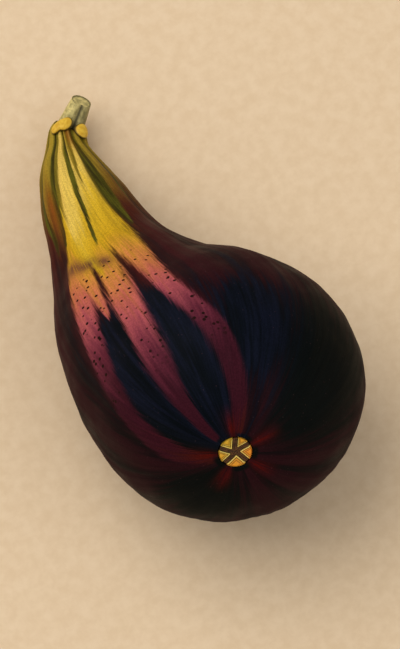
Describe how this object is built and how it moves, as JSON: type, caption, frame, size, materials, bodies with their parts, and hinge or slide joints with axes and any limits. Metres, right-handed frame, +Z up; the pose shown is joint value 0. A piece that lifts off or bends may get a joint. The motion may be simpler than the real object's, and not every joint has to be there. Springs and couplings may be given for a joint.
{
  "type": "fresh fig",
  "caption": "Ripe pear-shaped fig lying on its side, with a ribbed skin, a long pale neck, a cut stalk, basal bracts and a closed eye of scales.",
  "frame": {"origin": "centre of the small flat patch that the bulb rests on, in the plane of the surface it lies on", "axes": "+Z up; +Y from under the bulb towards the neck and the stalk; the eye looks towards -Y, upwards and a little to -X"},
  "size_m": [0.0522, 0.0959, 0.051],
  "materials": {
    "fruit_skin": "satin natural fruit skin, dark purple with pale ribs that turn yellow and green along the neck",
    "stalk_skin": "matt green stalk skin with a pale cut end",
    "bract_skin": "satin yellow bract skin",
    "eye_scale_skin": "satin yellow-orange scale skin",
    "eye_inner_skin": "matt brown scale skin"
  },
  "bodies": {
    "root": {"fruit": "fruit_skin", "stalk": "stalk_skin", "basal_bract_left": "bract_skin", "basal_bract_right": "bract_skin", "eye_scale_1": "eye_scale_skin", "eye_scale_2": "eye_scale_skin", "eye_scale_3": "eye_scale_skin", "eye_scale_4": "eye_scale_skin", "eye_scale_5": "eye_scale_skin", "eye_inner_scales": "eye_inner_skin"}
  },
  "joints": []
}
